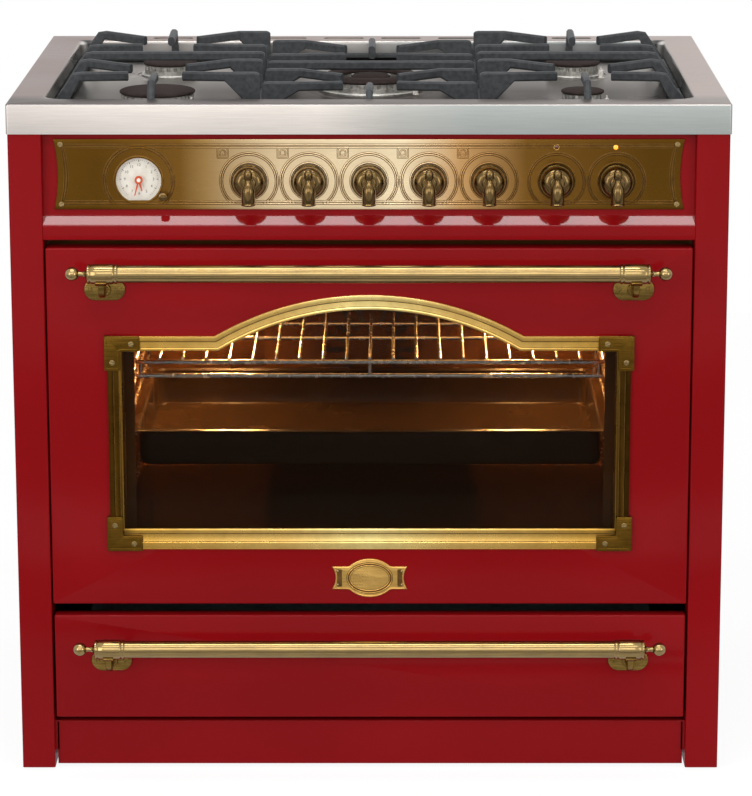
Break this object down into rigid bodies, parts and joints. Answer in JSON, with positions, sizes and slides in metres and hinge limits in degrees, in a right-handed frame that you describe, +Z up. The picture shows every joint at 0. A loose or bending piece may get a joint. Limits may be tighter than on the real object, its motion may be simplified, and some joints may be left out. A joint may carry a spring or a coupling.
{
  "type": "range cooker",
  "caption": "Free-standing range cooker with gas hob, arched-window oven door, turned brass handles and knobs, lower drawer and cast pan supports.",
  "frame": {"origin": "on the floor under the middle of the whole object's box", "axes": "+X to the right as seen from the front, +Y to the back, +Z up; the front faces -Y"},
  "size_m": [0.903, 0.6876, 0.894],
  "materials": {
    "red_enamel": "gloss",
    "galvanised_steel": "satin",
    "dark_enamel": "gloss",
    "seal_rubber": "matte",
    "chrome_wire": "polished",
    "element_steel": "satin",
    "lamp_glass": "clear",
    "pilot_lens": "clear",
    "aged_brass": "brushed",
    "polished_brass": "polished",
    "screw_brass": "polished",
    "dial_white": "satin",
    "hand_red": "satin",
    "valve_alloy": "satin",
    "hob_steel": "brushed",
    "burner_alloy": "satin",
    "cap_enamel": "matte",
    "spark_ceramic": "satin",
    "grate_iron": "matte",
    "door_glass": "clear"
  },
  "bodies": {
    "body": {"side_panel_left": "red_enamel", "side_panel_right": "red_enamel", "plinth": "red_enamel", "control_fascia": "red_enamel", "back_panel": "galvanised_steel", "carcass_steelwork": "galvanised_steel", "levelling_feet": "galvanised_steel", "drawer_runners": "galvanised_steel", "oven_cavity": "dark_enamel", "deep_tray": "dark_enamel", "fan_cover": "dark_enamel", "door_seal": "seal_rubber", "shelf_ladders": "chrome_wire", "wire_rack": "chrome_wire", "heating_elements": "element_steel", "oven_lamp": "lamp_glass", "indicator_lamps": "pilot_lens", "control_plate": "aged_brass", "plate_screws": "screw_brass", "clock_dial": "dial_white", "control_valves": "valve_alloy", "gas_rail": "valve_alloy", "hob_top": "hob_steel", "burner_bodies": "burner_alloy", "burner_caps": "cap_enamel", "spark_plugs": "spark_ceramic"},
    "door": {"door_panel": "red_enamel", "door_outer_glass": "door_glass", "door_inner_glass": "door_glass", "door_inner_frame": "dark_enamel", "window_frame": "aged_brass", "window_corners": "aged_brass", "door_screws": "screw_brass", "badge_plate": "aged_brass", "door_handle_bar": "polished_brass", "door_handle_brackets": "polished_brass", "door_hinge_pins": "galvanised_steel"},
    "drawer": {"drawer_front": "red_enamel", "drawer_box": "galvanised_steel", "drawer_handle_bar": "polished_brass", "drawer_handle_brackets": "polished_brass"},
    "fan": {"fan_wheel": "element_steel"},
    "minute_hand": {"minute_hand": "hand_red"},
    "hour_hand": {"hour_hand": "hand_red"},
    "clock_knob": {"clock_setting_knob": "aged_brass"},
    "knob_1": {"control_knob_1": "polished_brass"},
    "knob_2": {"control_knob_2": "polished_brass"},
    "knob_3": {"control_knob_3": "polished_brass"},
    "knob_4": {"control_knob_4": "polished_brass"},
    "knob_5": {"control_knob_5": "polished_brass"},
    "knob_6": {"control_knob_6": "polished_brass"},
    "knob_7": {"control_knob_7": "polished_brass"},
    "spindle_1": {"tap_spindle_1": "valve_alloy"},
    "spindle_2": {"tap_spindle_2": "valve_alloy"},
    "spindle_3": {"tap_spindle_3": "valve_alloy"},
    "spindle_4": {"tap_spindle_4": "valve_alloy"},
    "spindle_5": {"tap_spindle_5": "valve_alloy"},
    "support_left": {"pan_support_left": "grate_iron"},
    "support_middle": {"pan_support_middle": "grate_iron"},
    "support_right": {"pan_support_right": "grate_iron"}
  },
  "joints": [
    {"name": "door_hinge", "type": "hinge", "parent": "body", "child": "door", "pos_m": [0, -0.26717, 0.2364], "axis": [1, 0, 0], "range_deg": [0, 90]},
    {"name": "drawer_slide", "type": "slide", "parent": "body", "child": "drawer", "axis": [0, -1, 0], "range_m": [0, 0.28]},
    {"name": "fan_spin", "type": "hinge", "parent": "body", "child": "fan", "pos_m": [0, 0.17883, 0.455], "axis": [0, 1, 0], "continuous": true},
    {"name": "clock_setting", "type": "hinge", "parent": "body", "child": "clock_knob", "pos_m": [-0.257, -0.26917, 0.756], "axis": [0, 1, 0], "continuous": true},
    {"name": "minute_turn", "type": "hinge", "parent": "body", "child": "minute_hand", "pos_m": [-0.288, -0.27117, 0.775], "axis": [0, 1, 0], "continuous": true},
    {"name": "hour_turn", "type": "hinge", "parent": "body", "child": "hour_hand", "pos_m": [-0.288, -0.27017, 0.775], "axis": [0, 1, 0], "continuous": true},
    {"name": "tap_push_1", "type": "slide", "parent": "body", "child": "spindle_1", "axis": [0, 1, 0], "range_m": [0, 0.003], "stiffness_N_per_m": 800},
    {"name": "knob_turn_1", "type": "hinge", "parent": "spindle_1", "child": "knob_1", "pos_m": [-0.15, -0.28118, 0.774], "axis": [0, -1, 0], "range_deg": [0, 210]},
    {"name": "tap_push_2", "type": "slide", "parent": "body", "child": "spindle_2", "axis": [0, 1, 0], "range_m": [0, 0.003], "stiffness_N_per_m": 800},
    {"name": "knob_turn_2", "type": "hinge", "parent": "spindle_2", "child": "knob_2", "pos_m": [-0.075, -0.28118, 0.774], "axis": [0, -1, 0], "range_deg": [0, 210]},
    {"name": "tap_push_3", "type": "slide", "parent": "body", "child": "spindle_3", "axis": [0, 1, 0], "range_m": [0, 0.003], "stiffness_N_per_m": 800},
    {"name": "knob_turn_3", "type": "hinge", "parent": "spindle_3", "child": "knob_3", "pos_m": [0, -0.28118, 0.774], "axis": [0, -1, 0], "range_deg": [0, 210]},
    {"name": "tap_push_4", "type": "slide", "parent": "body", "child": "spindle_4", "axis": [0, 1, 0], "range_m": [0, 0.003], "stiffness_N_per_m": 800},
    {"name": "knob_turn_4", "type": "hinge", "parent": "spindle_4", "child": "knob_4", "pos_m": [0.075, -0.28118, 0.774], "axis": [0, -1, 0], "range_deg": [0, 210]},
    {"name": "tap_push_5", "type": "slide", "parent": "body", "child": "spindle_5", "axis": [0, 1, 0], "range_m": [0, 0.003], "stiffness_N_per_m": 800},
    {"name": "knob_turn_5", "type": "hinge", "parent": "spindle_5", "child": "knob_5", "pos_m": [0.15, -0.28118, 0.774], "axis": [0, -1, 0], "range_deg": [0, 210]},
    {"name": "function_turn", "type": "hinge", "parent": "body", "child": "knob_6", "pos_m": [0.2344, -0.28118, 0.774], "axis": [0, 1, 0], "continuous": true},
    {"name": "thermostat_turn", "type": "hinge", "parent": "body", "child": "knob_7", "pos_m": [0.3094, -0.28118, 0.774], "axis": [0, 1, 0], "range_deg": [0, 290]},
    {"name": "support_lift_left", "type": "slide", "parent": "body", "child": "support_left", "axis": [0, 0, 1], "range_m": [0, 0.1]},
    {"name": "support_lift_middle", "type": "slide", "parent": "body", "child": "support_middle", "axis": [0, 0, 1], "range_m": [0, 0.1]},
    {"name": "support_lift_right", "type": "slide", "parent": "body", "child": "support_right", "axis": [0, 0, 1], "range_m": [0, 0.1]}
  ],
  "couplings": [
    {"joint": "minute_turn", "follows": "clock_setting", "ratio": 1},
    {"joint": "hour_turn", "follows": "clock_setting", "ratio": 0.083333}
  ]
}
